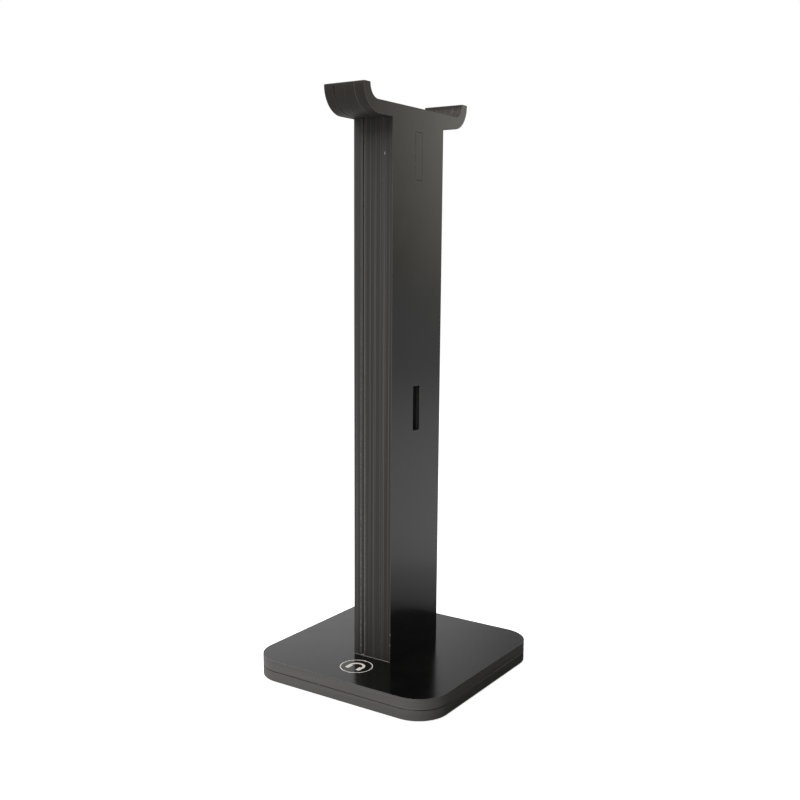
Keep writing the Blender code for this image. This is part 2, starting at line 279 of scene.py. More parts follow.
floor_pick = new_node(
    tree, "ShaderNodeMixShader",
    {0: floor_side.outputs["Backfacing"], 1: floor_kind.outputs[0], 2: floor_clear.outputs[0]},
)
new_node(tree, "ShaderNodeOutputMaterial", {"Surface": floor_pick.outputs[0]})
floor_mesh.materials.append(floor_paint)


# ---- Lower base sheet ----
# A 5 mm sheet of black acrylic, cut square with round corners. Its two faces keep the maker's polish.
# The cut rim is left satin from the cutter, and the feet and screws go into its underside.
MM = 0.001


def new_group(name, inputs, outputs):
    """An empty effect with named sockets; gives the tree, its inputs and its outputs."""
    tree = bpy.data.node_groups.new(name, "ShaderNodeTree")
    for label, kind, value in inputs:
        socket = tree.interface.new_socket(label, in_out="INPUT", socket_type=kind)
        if value is not None:
            socket.default_value = value
    for label in outputs:
        tree.interface.new_socket(label, in_out="OUTPUT", socket_type="NodeSocketFloat")
    return tree, tree.nodes.new("NodeGroupInput").outputs, tree.nodes.new("NodeGroupOutput").inputs


def use_group(tree, group, inputs):
    return new_node(tree, "ShaderNodeGroup", inputs, node_tree=group).outputs


def noise(tree, place, scale, detail, roughness=0.6, distortion=0.0):
    made = new_node(
        tree, "ShaderNodeTexNoise",
        {
            "Vector": place, "Scale": scale, "Detail": detail,
            "Roughness": roughness, "Distortion": distortion,
        },
    )
    return made.outputs["Fac"]


# Handling marks on a polished face: smears from wiping, hairline scratches and settled dust.
# Each set of scratches is turned by an angle and drawn out across it.
SCRATCHES = ((0.5, 26.0), (-0.9, 34.0), (1.9, 30.0))
handling, marks_in, marks_out = new_group(
    "handling_marks",
    (("Coordinates", "NodeSocketVector", None), ("Dust", "NodeSocketFloat", 0.5)),
    ("Smears", "Scratches", "Dust", "Waves"),
)
marks_place = marks_in["Coordinates"]
smears = noise(handling, marks_place, scale=55.0, detail=4.0, roughness=0.55, distortion=1.2)
feed(handling, marks_out["Smears"], remap(handling, smears, 0.42, 0.72))
scratches = None
for turn, stretch in SCRATCHES:
    drawn_out = new_node(
        handling, "ShaderNodeMapping",
        {"Vector": marks_place, "Rotation": (turn, turn * 0.6, turn), "Scale": (1.0, stretch, 3.0)},
    )
    hairs = noise(handling, drawn_out.outputs[0], scale=60.0, detail=2.0)
    lines = remap(handling, hairs, 0.735, 0.78)
    scratches = lines if scratches is None else maths(handling, "MAXIMUM", scratches, lines)
feed(handling, marks_out["Scratches"], scratches)
cells = new_node(
    handling, "ShaderNodeTexVoronoi", {"Vector": marks_place, "Scale": 420.0, "Randomness": 1.0}
)
specks = remap(handling, cells.outputs["Distance"], 0.10, 0.05)
settled = remap(handling, noise(handling, marks_place, scale=70.0, detail=3.0), 0.50, 0.70)
dust = maths(handling, "MULTIPLY", specks, settled)
feed(handling, marks_out["Dust"], maths(handling, "MULTIPLY", dust, marks_in["Dust"]))
waves = noise(handling, marks_place, scale=14.0, detail=1.0, roughness=0.4)
feed(handling, marks_out["Waves"], waves)

# Tool lines on a cut edge: fine lines that run along the edge, in brighter and duller bands.
LINE_KINDS = (
    ("Lines", 1.0, 1.0, 0.53, 0.64),
    ("Bands", 0.27, 2.0, 0.36, 0.66),
    ("Patches", 0.05, 3.0, 0.30, 0.70),
)
tool_lines, lines_in, lines_out = new_group(
    "tool_lines",
    (("Coordinates", "NodeSocketVector", None),),
    [label for label, *rest in LINE_KINDS],
)
for label, scale, detail, low, high in LINE_KINDS:
    lines = noise(tool_lines, lines_in["Coordinates"], scale, detail)
    feed(tool_lines, lines_out[label], remap(tool_lines, lines, low, high))


def bump(tree, height, strength, distance, under=None, sunk=False):
    """A fine relief; under is the relief that it lies on."""
    inputs = {"Height": height, "Strength": strength, "Distance": distance, "Normal": under}
    return new_node(tree, "ShaderNodeBump", inputs, invert=sunk).outputs[0]


def new_material(name):
    """An empty material; gives it, its tree and the place on the piece."""
    material = bpy.data.materials.new(name)
    material.use_nodes = True
    tree = material.node_tree
    tree.nodes.clear()
    return material, tree, new_node(tree, "ShaderNodeTexCoord").outputs["Object"]


def set_look(tree, look):
    """Gives a material its shader, with each value or node on the socket it is named for."""
    shader = new_node(tree, "ShaderNodeBsdfPrincipled", look)
    new_node(tree, "ShaderNodeOutputMaterial", {"Surface": shader.outputs[0]})


ACRYLIC_IOR = 1.49
POLISH_BLACK = (0.0004, 0.0004, 0.0004)
SMEARED_BLACK = (0.0014, 0.0014, 0.0013)
DUST_COLOUR = (0.10, 0.095, 0.085)
NICK_COLOUR = (0.22, 0.21, 0.19)
DULL_SHARE = 0.45


def polished_acrylic(name, roughness, dust):
    """Cast black acrylic with its factory polish: deep black, mirror-like, a little handled."""
    material, tree, place = new_material(name)
    marks = use_group(tree, handling, {"Coordinates": place, "Dust": dust})
    tone = blend_colour(tree, marks["Smears"], POLISH_BLACK, SMEARED_BLACK)
    rough = remap(tree, marks["Smears"], to_low=roughness, to_high=roughness + 0.05)
    rough = maths(tree, "MULTIPLY_ADD", marks["Dust"], 0.35, rough)
    wavy = bump(tree, marks["Waves"], strength=0.25, distance=0.30 * MM)
    set_look(tree, {
        "Base Color": blend_colour(tree, marks["Dust"], tone, DUST_COLOUR),
        "Roughness": maths(tree, "MULTIPLY_ADD", marks["Scratches"], 0.12, rough),
        "Normal": bump(
            tree, marks["Scratches"], strength=0.12, distance=0.03 * MM, under=wavy, sunk=True
        ),
        "IOR": ACRYLIC_IOR,
    })
    return material


def lines_along(tree, place, lines_per_m):
    fit = new_node(tree, "ShaderNodeMapping", {"Vector": place, "Scale": lines_per_m})
    return use_group(tree, tool_lines, {"Coordinates": fit.outputs[0]})


def cut_acrylic(name, lines_per_m, dark, light, roughness, gloss=0.5):
    """A cut edge of black acrylic: satin, warm grey, with fine lines along the cut."""
    material, tree, place = new_material(name)
    lines = lines_along(tree, place, lines_per_m)
    banded = maths(tree, "MULTIPLY", lines["Bands"], 0.10)
    share = maths(tree, "MULTIPLY_ADD", lines["Lines"], 0.85, banded)
    tone = blend_colour(tree, share, dark, light)
    patch = remap(tree, lines["Patches"], to_low=0.88, to_high=1.1)
    set_look(tree, {
        "Base Color": blend_colour(tree, 1.0, tone, patch, "MULTIPLY"),
        "Roughness": remap(tree, share, to_low=roughness + 0.08, to_high=roughness - 0.08),
        "Normal": bump(tree, share, strength=0.5, distance=0.06 * MM),
        "IOR": ACRYLIC_IOR,
        "Specular IOR Level": gloss,
    })
    return material


def arris_acrylic(name, lines_per_m, colour, roughness):
    """The arris between a face and a cut edge: paler, partly scraped and partly a painted highlight;
    small nicks.
    """
    material, tree, place = new_material(name)
    lines = lines_along(tree, place, lines_per_m)
    nicks = remap(tree, noise(tree, place, scale=900.0, detail=2.0), 0.66, 0.74)
    dull = tuple(DULL_SHARE * part for part in colour)
    tone = blend_colour(tree, lines["Bands"], dull, colour)
    set_look(tree, {
        "Base Color": blend_colour(tree, nicks, tone, NICK_COLOUR),
        "Roughness": remap(tree, lines["Lines"], to_low=roughness, to_high=roughness + 0.12),
        "Normal": bump(tree, nicks, strength=0.6, distance=0.05 * MM, sunk=True),
        "IOR": ACRYLIC_IOR,
    })
    return material


# The finishes, by their places in a piece's list of materials.
POLISH, CUT, ARRIS, JOINT_SHADE, LIP_SHADE = range(5)
# Noise cells in a metre along each axis, many across the lines and few along them.
ACROSS_Z = (20.0, 20.0, 2600.0)
# The rim's cut is lighter than the post's: partly a coarser cut, partly painted light from the bright
# table in front.
RIM_DARK = (0.125, 0.123, 0.117)
RIM_LIGHT = (0.160, 0.157, 0.149)
RIM_ARRIS_SCRAPED_AND_HIGHLIT = (0.19, 0.187, 0.180)
base_face = polished_acrylic("base_face_polish", roughness=0.16, dust=0.12)
base_rim = cut_acrylic("base_rim_cut", ACROSS_Z, RIM_DARK, RIM_LIGHT, roughness=0.38, gloss=0.55)
base_arris = arris_acrylic("base_arris", ACROSS_Z, RIM_ARRIS_SCRAPED_AND_HIGHLIT, roughness=0.30)
# Painted shade in the joints: the arrises that meet in a bonded joint take the polish's deep black.
joint_shade_black = polished_acrylic("joint_shade_black", roughness=0.22, dust=0.0)

TINY = 1e-7
TOUCH = 1e-6
FLAT = 0.999
SHARP = math.radians(30)
ARC_STEPS = 28
ARRIS_STEPS = 3
SEAM_HAIRLINE = 0.002 * MM
BASE_CORNER = 15.0 * MM


def tag_and_shade(bm):
    """Polished faces stay flat, cut ones are smooth, and corners and finishes stop at a crisp line."""
    for face in bm.faces:
        face.smooth = face.material_index != POLISH
    for edge in bm.edges:
        finishes = {face.material_index for face in edge.link_faces}
        turn = edge.calc_face_angle(0.0) if len(edge.link_faces) == 2 else 0.0
        edge.smooth = len(finishes) < 2 and turn < SHARP


def new_piece(name, bm, materials, node):
    """Makes a piece of a bmesh; with a node it stands for that node, and without one it is extra."""
    mesh = bpy.data.meshes.new(name)
    bm.to_mesh(mesh)
    bm.free()
    for material in materials:
        mesh.materials.append(material)
    piece = bpy.data.objects.new(name, mesh)
    bpy.context.scene.collection.objects.link(piece)
    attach(piece, "root")
    if node:
        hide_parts(node)


def add_block(bm, low, high):
    """A plain block between two opposite corners."""
    low, high = Vector(low), Vector(high)
    matrix = Matrix.Translation((low + high) / 2) @ Matrix.Diagonal((*(high - low), 1.0))
    bmesh.ops.create_cube(bm, size=1.0, matrix=matrix)


def round_over(bm, edges, width, segments=ARRIS_STEPS):
    """Rounds edges off with a strip of new faces, and gives those faces."""
    rounded = bmesh.ops.bevel(
        bm, geom=edges, offset=width, offset_type="OFFSET", segments=segments,
        profile=0.5, affect="EDGES", material=-1,
    )
    return rounded["faces"]


def standing_edges(bm, over):
    """The edges that rise by more than a height."""
    return [e for e in bm.edges if abs(e.verts[0].co.z - e.verts[1].co.z) > over]


def base_plate(low, high, arris_low, arris_high, finish_high):
    """A square plate with round corners and arrises, its two large faces left open."""
    bm = bmesh.new()
    add_block(bm, low, high)
    round_over(bm, standing_edges(bm, (high.z - low.z) / 2), BASE_CORNER, ARC_STEPS)
    for face in bm.faces:
        face.material_index = POLISH if abs(face.normal.z) > FLAT else CUT
    for level, width, finish in ((low.z, arris_low, ARRIS), (high.z, arris_high, finish_high)):
        outline = [e for e in bm.edges if all(abs(v.co.z - level) < TINY for v in e.verts)]
        for face in round_over(bm, outline, width):
            face.material_index = finish
    large = [f for f in bm.faces if abs(f.normal.z) > FLAT and f.material_index == POLISH]
    bmesh.ops.delete(bm, geom=large, context="FACES_ONLY")
    return bm


def finish_plate(bm):
    """Turns the faces outwards and gives the walls of the holes their cut finish."""
    bmesh.ops.recalc_face_normals(bm, faces=bm.faces[:])
    for face in bm.faces:
        if face.material_index == POLISH and abs(face.normal.z) < FLAT:
            face.material_index = CUT
    tag_and_shade(bm)


def loop_at(bm, level):
    """The open edges that lie at one height."""
    return [e for e in bm.edges if e.is_boundary and all(abs(v.co.z - level) < TINY for v in e.verts)]


def edges_of(verts):
    return list(dict.fromkeys(e for v in verts for e in v.link_edges))


def add_ring(bm, radius, x, y, z, steps=64):
    matrix = Matrix.Translation((x, y, z))
    return edges_of(bmesh.ops.create_circle(bm, segments=steps, radius=radius, matrix=matrix)["verts"])


def fill_between(bm, edges, finish):
    """Fills the flat space that closed rows of edges leave between them."""
    filled = bmesh.ops.triangle_fill(bm, use_beauty=True, use_dissolve=False, edges=edges)
    for part in filled["geom"]:
        if isinstance(part, bmesh.types.BMFace):
            part.material_index = finish


lower_low, lower_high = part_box("base_lower_sheet")
upper_low, upper_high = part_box("base_upper_sheet")
seam = (lower_high.z + upper_low.z) / 2
lower_top = seam - SEAM_HAIRLINE
upper_bottom = seam + SEAM_HAIRLINE
lower_high.z = lower_top
upper_low.z = upper_bottom

FEET = ("foot_front_left", "foot_front_right", "foot_rear_left", "foot_rear_right")
SCREWS = ("post_screw_front", "post_screw_rear")
POCKET_CLEAR = 0.15 * MM
HEAD_RIM = 0.3 * MM
HEAD_DEPTH = 2.05 * MM
SINK_MOUTH = 0.35 * MM
SINK_CLEAR = 0.20 * MM
SHANK_HOLE = 2.15 * MM

# Its top arris, at the joint, takes the painted joint shade.
bm = base_plate(lower_low, lower_high, arris_low=0.20 * MM, arris_high=0.28 * MM, finish_high=JOINT_SHADE)
under, over = loop_at(bm, lower_low.z), loop_at(bm, lower_top)
for foot in FEET:
    foot_low, foot_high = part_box(foot)
    middle = (foot_low + foot_high) / 2
    pocket = (foot_high.x - foot_low.x) / 2 + POCKET_CLEAR
    mouth = add_ring(bm, pocket, middle.x, middle.y, lower_low.z)
    end = add_ring(bm, pocket, middle.x, middle.y, foot_high.z)
    bmesh.ops.bridge_loops(bm, edges=mouth + end)
    fill_between(bm, end, CUT)
    under += mouth
for screw in SCREWS:
    screw_low, screw_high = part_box(screw)
    y = (screw_low.y + screw_high.y) / 2
    head = (screw_high.x - screw_low.x) / 2
    sink = [
        add_ring(bm, radius, 0.0, y, z)
        for radius, z in (
            (head + SINK_MOUTH, lower_low.z),
            (head + SINK_CLEAR, screw_low.z + HEAD_RIM),
            (SHANK_HOLE, screw_low.z + HEAD_DEPTH),
            (SHANK_HOLE, lower_top),
        )
    ]
    for wider, tighter in zip(sink, sink[1:]):
        bmesh.ops.bridge_loops(bm, edges=wider + tighter)
    under += sink[0]
    over += sink[-1]
fill_between(bm, under, POLISH)
fill_between(bm, over, POLISH)
finish_plate(bm)
new_piece("base_lower", bm, (base_face, base_rim, base_arris, joint_shade_black), "base_lower_sheet")


# ---- Upper base sheet ----
# The same black acrylic square, bonded on top of the lower one. A slot is cut right through
# its middle, where the tenon of the upright goes down onto the lower sheet.
TENON_HALF = 15.0 * MM
TENON_CLEAR = 0.15 * MM
tenon_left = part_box("upright_middle_left_sheet")[0].x
slot_half_x = TENON_CLEAR - tenon_left
slot_half_y = TENON_CLEAR + TENON_HALF

bm = base_plate(upper_low, upper_high, arris_low=0.08 * MM, arris_high=0.10 * MM, finish_high=ARRIS)
mouths = []
for level in (upper_bottom, upper_high.z):
    lid = bmesh.ops.create_grid(
        bm, x_segments=1, y_segments=1, size=1.0,
        matrix=Matrix.Translation((0, 0, level)) @ Matrix.Diagonal((slot_half_x, slot_half_y, 1, 1)),
    )
    mouth = edges_of(lid["verts"])
    bmesh.ops.delete(bm, geom=mouth[0].link_faces[:], context="FACES_ONLY")
    fill_between(bm, [e for e in loop_at(bm, level) if e not in mouth] + mouth, POLISH)
    mouths += mouth
bmesh.ops.bridge_loops(bm, edges=mouths)
finish_plate(bm)
new_piece("base_upper", bm, (base_face, base_rim, base_arris), "base_upper_sheet")


# ---- Upright sheets ----
# Four 5 mm sheets of black acrylic, cut to one outline and bonded face to face. Their cut edges
# make the post's narrow front and back and the cradle with its two rounded lips at the top.
# The two middle sheets run on down as a tenon, and all four have two slots cut through them.
ACROSS_X = (2100.0, 6.0, 3.0)
EDGE_DARK = (0.017, 0.0162, 0.0152)
EDGE_LIGHT = (0.078, 0.0758, 0.0730)
# Painted light: the first, leftmost sheet's cut edge is a lighter copy, as light falls from the left.
FIRST_LIT_DARK = (0.025, 0.0240, 0.0228)
FIRST_LIT_LIGHT = (0.100, 0.0975, 0.0942)
# Painted shade: the lips' cut is a darker, warmer copy of the post's cut edge.
LIP_SHADED_DARK = (0.019, 0.0150, 0.0120)
LIP_SHADED_LIGHT = (0.025, 0.0203, 0.0168)
EDGE_ARRIS_SCRAPED_AND_HIGHLIT = (0.11, 0.108, 0.105)
post_face = polished_acrylic("post_face_polish", roughness=0.13, dust=0.12)
post_edge = cut_acrylic("post_edge_cut", ACROSS_X, EDGE_DARK, EDGE_LIGHT, roughness=0.44)
first_lit_edge = cut_acrylic("first_edge_cut", ACROSS_X, FIRST_LIT_DARK, FIRST_LIT_LIGHT, roughness=0.42)
post_arris = arris_acrylic("post_arris", ACROSS_X, EDGE_ARRIS_SCRAPED_AND_HIGHLIT, roughness=0.30)
lip_shaded_edge = cut_acrylic("lip_edge_cut", ACROSS_X, LIP_SHADED_DARK, LIP_SHADED_LIGHT, roughness=0.50, gloss=0.3)

POST_HALF = 20.6 * MM
POST_FOOT = upper_high.z + 0.04 * MM
UNDER_CRADLE = 255.4 * MM
CRADLE_FLOOR = 261.1 * MM
CRADLE_HALF = 41.7 * MM
LIP_TOP = 267.2 * MM
LIP_INSIDE = 37.0 * MM
LIP_CORNER = 0.5 * MM
LIP_CORNER_STEPS = 6
LIP_INNER_ROUND = 5.6 * MM
LIP_OUTER_ROUND = 11.3 * MM
SLOT_HALF = 2.75 * MM
KEY_SLOT = (230.4 * MM, 251.0 * MM)
CABLE_SLOT = (118.1 * MM, 138.7 * MM)


def upright_outline(tenon):
    """Half of the outline, from the middle line outwards, as corner places and their rounding."""
    corners = [(POST_HALF, POST_FOOT, 0)]
    if tenon:
        corners = [(0, tenon, 0), (TENON_HALF, tenon, 0), (TENON_HALF, POST_FOOT, 0)] + corners
    else:
        corners = [(0, POST_FOOT, 0)] + corners
    corners += [
        (POST_HALF, UNDER_CRADLE, 0),
        (CRADLE_HALF, UNDER_CRADLE, LIP_OUTER_ROUND),
        (CRADLE_HALF, LIP_TOP, LIP_CORNER),
        (LIP_INSIDE, LIP_TOP, LIP_CORNER),
        (LIP_INSIDE, CRADLE_FLOOR, LIP_INNER_ROUND),
        (0, CRADLE_FLOOR, 0),
    ]
    for bottom, top in (KEY_SLOT, CABLE_SLOT):
        corners += [(0, top, 0), (SLOT_HALF, top, 0), (SLOT_HALF, bottom, 0), (0, bottom, 0)]
    return corners


def cut_half_outline(bm, left, thickness, tenon):
    """Half of a sheet: its outline with the corners rounded, pushed out to the thickness."""
    corners = upright_outline(tenon)
    verts = [bm.verts.new((left, y, z)) for y, z, radius in corners]
    bm.faces.new(verts)
    for vert, (y, z, radius) in zip(verts, corners):
        if radius:
            bmesh.ops.bevel(
                bm, geom=[vert], offset=radius, offset_type="OFFSET",
                segments=LIP_CORNER_STEPS if radius == LIP_CORNER else ARC_STEPS,
                profile=0.5, affect="VERTICES", material=-1,
            )
    bmesh.ops.remove_doubles(bm, verts=bm.verts[:], dist=TOUCH)
    pushed = bmesh.ops.extrude_face_region(bm, geom=bm.faces[:])
    far_side = [v for v in pushed["geom"] if isinstance(v, bmesh.types.BMVert)]
    bmesh.ops.translate(bm, vec=(thickness, 0, 0), verts=far_side)


def finish_of(face):
    """Polish on the sheet's faces, the lip's painted-shade cut outside the post, and the plain cut
    elsewhere.
    """
    if abs(face.normal.x) > FLAT:
        return POLISH
    middle = face.calc_center_median()
    return LIP_SHADE if middle.z > UNDER_CRADLE - TOUCH and abs(middle.y) > POST_HALF else CUT


def upright_sheet(name, node, left, right, arrises, edge, tenon):
    bm = bmesh.new()
    cut_half_outline(bm, left, right - left, tenon)
    middle_walls = [f for f in bm.faces if all(abs(v.co.y) < TINY for v in f.verts)]
    bmesh.ops.delete(bm, geom=middle_walls, context="FACES_ONLY")
    whole = bm.verts[:] + bm.edges[:] + bm.faces[:]
    bmesh.ops.mirror(bm, geom=whole, axis="Y", merge_dist=TOUCH)
    bmesh.ops.recalc_face_normals(bm, faces=bm.faces[:])
    for face in bm.faces:
        face.material_index = finish_of(face)
    for level, (width, finish) in zip((left, right), arrises):
        outline = [
            e for e in bm.edges
            if all(abs(v.co.x - level) < TINY for v in e.verts)
            and len({f.material_index for f in e.link_faces}) == 2
            and not all(v.co.z < POST_FOOT + TOUCH for v in e.verts)
        ]
        for face in round_over(bm, outline, width * MM):
            face.material_index = finish
    bmesh.ops.recalc_face_normals(bm, faces=bm.faces[:])
    tag_and_shade(bm)
    new_piece(name, bm, (post_face, edge, post_arris, joint_shade_black, lip_shaded_edge), node)


# Each sheet has its arris on the left and on the right in mm, its cut edge, and whether it has a tenon.
SHEETS = (
    ("upright_left", "upright_left_sheet", (0.10, ARRIS), (0.30, JOINT_SHADE), first_lit_edge, False),
    ("upright_middle_left", "upright_middle_left_sheet", (0.26, JOINT_SHADE), (0.05, ARRIS), post_edge, True),
    ("upright_middle_right", "upright_middle_right_sheet", (0.05, ARRIS), (0.10, ARRIS), post_edge, True),
    ("upright_right", "upright_right_sheet", (0.12, ARRIS), (0.16, ARRIS), post_edge, False),
)
boxes = [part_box(node) for name, node, *rest in SHEETS]
for number, (name, node, arris_left, arris_right, edge, tenon) in enumerate(SHEETS):
    left, right = boxes[number][0].x, boxes[number][1].x
    if number > 0:
        left = (boxes[number - 1][1].x + left) / 2 + SEAM_HAIRLINE
    if number < len(SHEETS) - 1:
        right = (right + boxes[number + 1][0].x) / 2 - SEAM_HAIRLINE
    upright_sheet(name, node, left, right, (arris_left, arris_right), edge, seam if tenon else None)


# ---- Set glue ----
# A little clear glue was squeezed out of the joints as they were pressed together, and it has set.
# There is a thin fillet along the foot of the post's two narrow faces, a pair of fine runs beside the
# left joint at the front, and a few small beads.
GLUE_DARK = (0.16, 0.155, 0.145)
GLUE_LIGHT = (0.34, 0.33, 0.31)
glue, tree, place = new_material("set_glue")
cloud = noise(tree, place, scale=1500.0, detail=3.0)
cloudy = remap(tree, cloud, 0.35, 0.65)
set_look(tree, {
    "Base Color": blend_colour(tree, cloudy, GLUE_DARK, GLUE_LIGHT),
    "Roughness": remap(tree, cloudy, to_low=0.18, to_high=0.34),
    "Normal": bump(tree, cloud, strength=0.3, distance=0.04 * MM),
})


def new_glue(name, bm):
    for face in bm.faces:
        face.smooth = True
    new_piece(name, bm, (glue,), None)


FILLET = Vector((10.1, 0.12, 0.12)) * MM
FILLET_ROUND = 0.9 * FILLET.z
for side, end in ((-1, "front"), (1, "rear")):
    bm = bmesh.new()
    middle = Vector((0, side * POST_HALF, upper_high.z))
    add_block(bm, middle - FILLET, middle + FILLET)
    round_over(bm, bm.edges[:], FILLET_ROUND, segments=4)
    new_glue("glue_fillet_" + end, bm)

SEAM_X = 5.2 * MM
RUN_FOOT = upper_high.z + 0.3 * MM
RUN_STEPS = 60
LONG_RIPPLE, SHORT_RIPPLE = 11.0, 37.0
RIPPLE_SHARE = 0.2
RUN_TAPER = 1.05
for name, run_x, run_top, wide, proud in (
    ("glue_run_left", -SEAM_X - 1.2 * MM, 222.0 * MM, 0.19 * MM, 0.08 * MM),
    ("glue_run_right", -SEAM_X + 1.1 * MM, 206.0 * MM, 0.16 * MM, 0.07 * MM),
):
    bm = bmesh.new()
    length = run_top - RUN_FOOT
    bmesh.ops.create_cone(
        bm, cap_ends=True, segments=10, radius1=1.0, radius2=1.0, depth=length,
        matrix=Matrix.Translation((0, 0, RUN_FOOT + length / 2)),
    )
    along = standing_edges(bm, length / 2)
    bmesh.ops.subdivide_edges(bm, edges=along, cuts=RUN_STEPS, use_grid_fill=True)
    for vert in bm.verts:
        share = (vert.co.z - RUN_FOOT) / length
        ripple = math.sin(SHORT_RIPPLE * share) * math.sin(LONG_RIPPLE * share)
        swell = (1 - RIPPLE_SHARE + RIPPLE_SHARE * ripple) * (RUN_TAPER - share)
        vert.co.x = run_x + vert.co.x * wide * swell
        vert.co.y = -POST_HALF + vert.co.y * proud * swell
    new_glue(name, bm)

BEAD_STEPS = 16
BEAD_LEAN = 0.25
for name, centre, size in (
    ("glue_bead_foot", (-SEAM_X, -POST_HALF, upper_high.z + 0.4 * MM), (0.36, 0.28, 0.50)),
    ("glue_bead_post", (SEAM_X + 0.9 * MM, -POST_HALF, 240.4 * MM), (0.32, 0.16, 0.75)),
    ("glue_bead_base", (-9.0 * MM, upper_low.y + 0.17 * MM, seam), (0.30, 0.16, 0.55)),
    ("glue_bead_corner_low", (10.1 * MM, -20.5 * MM, 19.2 * MM), (0.20, 0.20, 0.40)),
    ("glue_bead_corner_high", (10.1 * MM, -20.5 * MM, 24.4 * MM), (0.20, 0.20, 0.50)),
):
    bm = bmesh.new()
    bmesh.ops.create_uvsphere(
        bm, u_segments=BEAD_STEPS, v_segments=BEAD_STEPS // 2, radius=1.0,
        matrix=Matrix.Translation(centre) @ Matrix.Diagonal((*(MM * part for part in size), 1.0)),
    )
    for vert in bm.verts:
        vert.co.x += BEAD_LEAN * abs(vert.co.z - centre[2])
    new_glue(name, bm)


# ---- Locating key ----
# A bar of the same acrylic pushed through the top slots of all four sheets, to line them up while
# the glue sets. Its polished ends finish flush with the post's wide faces.
KEY_CLEAR = 0.05 * MM
KEY_ARRIS = 0.12 * MM
key_low, key_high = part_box("locating_key")
key_low.y, key_high.y = -SLOT_HALF + KEY_CLEAR, SLOT_HALF - KEY_CLEAR
key_low.z, key_high.z = KEY_SLOT[0] + KEY_CLEAR, KEY_SLOT[1] - KEY_CLEAR
bm = bmesh.new()
add_block(bm, key_low, key_high)
for face in bm.faces:
    face.material_index = POLISH if abs(face.normal.x) > FLAT else CUT
for face in round_over(bm, bm.edges[:], KEY_ARRIS):
    face.material_index = ARRIS
tag_and_shade(bm)
new_piece("key_bar", bm, (post_face, post_edge, post_arris), "locating_key")


# ---- Emblem ----
# A thin ring and a small headphone sign of pale satin plastic, let into the top of the base just
# in front of the post. They stand a hair above the polish, so their rims show.
PALE_DULL = (0.66, 0.625, 0.565)
PALE_CLEAN = (0.76, 0.725, 0.665)
STAIN_COLOUR = (0.42, 0.39, 0.34)
STAIN_SHARE = 0.35
emblem_plastic, tree, place = new_material("emblem_plastic")
grain = noise(tree, place, scale=2600.0, detail=3.0)
grainy = remap(tree, grain, 0.35, 0.65)
stains = remap(tree, noise(tree, place, scale=420.0, detail=3.0), 0.45, 0.75)
pale = blend_colour(tree, grainy, PALE_DULL, PALE_CLEAN)
stained = maths(tree, "MULTIPLY", stains, STAIN_SHARE)
set_look(tree, {
    "Base Color": blend_colour(tree, stained, pale, STAIN_COLOUR),
    "Roughness": remap(tree, grainy, to_low=0.36, to_high=0.55),
    "Normal": bump(tree, grain, strength=0.25, distance=0.02 * MM),
})

CREASE = math.radians(35)


def spin_profile(bm, points, centre, steps, closed):
    """Turns a profile of (radius, height) points right round the centre."""
    verts = [bm.verts.new((centre.x + radius, centre.y, height)) for radius, height in points]
    edges = [bm.edges.new(pair) for pair in zip(verts, verts[1:])]
    if closed:
        edges.append(bm.edges.new((verts[-1], verts[0])))
    bmesh.ops.spin(
        bm, geom=verts + edges, cent=(centre.x, centre.y, 0), axis=(0, 0, 1), dvec=(0, 0, 0),
        angle=2 * math.pi, steps=steps, use_merge=True, use_duplicate=False,
    )
    bmesh.ops.remove_doubles(bm, verts=bm.verts[:], dist=TINY)
    bmesh.ops.recalc_face_normals(bm, faces=bm.faces[:])


def smooth_by_angle(bm):
    for face in bm.faces:
        face.smooth = True
    for edge in bm.edges:
        if len(edge.link_faces) == 2:
            edge.smooth = edge.calc_face_angle() < CREASE


RING_WIDTH = 0.5 * MM
RING_ROUND = 0.05 * MM
EMBLEM_PROUD = 0.03 * MM
ring_low, ring_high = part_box("emblem_ring")
emblem_middle = (ring_low + ring_high) / 2
emblem_floor = ring_low.z
emblem_top = ring_high.z + EMBLEM_PROUD
outer = (ring_high.x - ring_low.x) / 2
inner = outer - RING_WIDTH
section = ((inner, emblem_floor), (outer, emblem_floor), (outer, emblem_top), (inner, emblem_top))
bm = bmesh.new()
spin_profile(bm, section, emblem_middle, steps=96, closed=True)
sharp = [e for e in bm.edges if len(e.link_faces) == 2 and e.calc_face_angle() > CREASE]
round_over(bm, sharp, RING_ROUND, segments=2)
smooth_by_angle(bm)
new_piece("emblem_ring_inlay", bm, (emblem_plastic,), "emblem_ring")

BAND_OUTER = 4.1 * MM
BAND_INNER = 2.8 * MM
PAD_INNER = 1.9 * MM
PAD_ROUND = 0.7 * MM
sign_y = emblem_middle.y
pad_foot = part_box("emblem_sign")[0].y
bm = bmesh.new()
band_end = [
    bm.verts.new((radius, sign_y, height))
    for radius, height in (
        (BAND_INNER, emblem_floor), (BAND_OUTER, emblem_floor),
        (BAND_OUTER, emblem_top), (BAND_INNER, emblem_top),
    )
]
end_face = bm.faces.new(band_end)
bmesh.ops.spin(
    bm, geom=[end_face, *end_face.edges, *band_end], cent=(0, sign_y, 0), axis=(0, 0, 1),
    dvec=(0, 0, 0), angle=math.pi, steps=32, use_merge=False, use_duplicate=False,
)
for pad_left, pad_right in ((-BAND_OUTER, -PAD_INNER), (PAD_INNER, BAND_OUTER)):
    add_block(bm, (pad_left, pad_foot, emblem_floor), (pad_right, sign_y, emblem_top))
pad_ends = [e for e in standing_edges(bm, 0.1 * MM) if e.verts[0].co.y < sign_y - MM]
round_over(bm, pad_ends, PAD_ROUND, segments=6)
bmesh.ops.recalc_face_normals(bm, faces=bm.faces[:])
smooth_by_angle(bm)
new_piece("emblem_sign_inlay", bm, (emblem_plastic,), "emblem_sign")


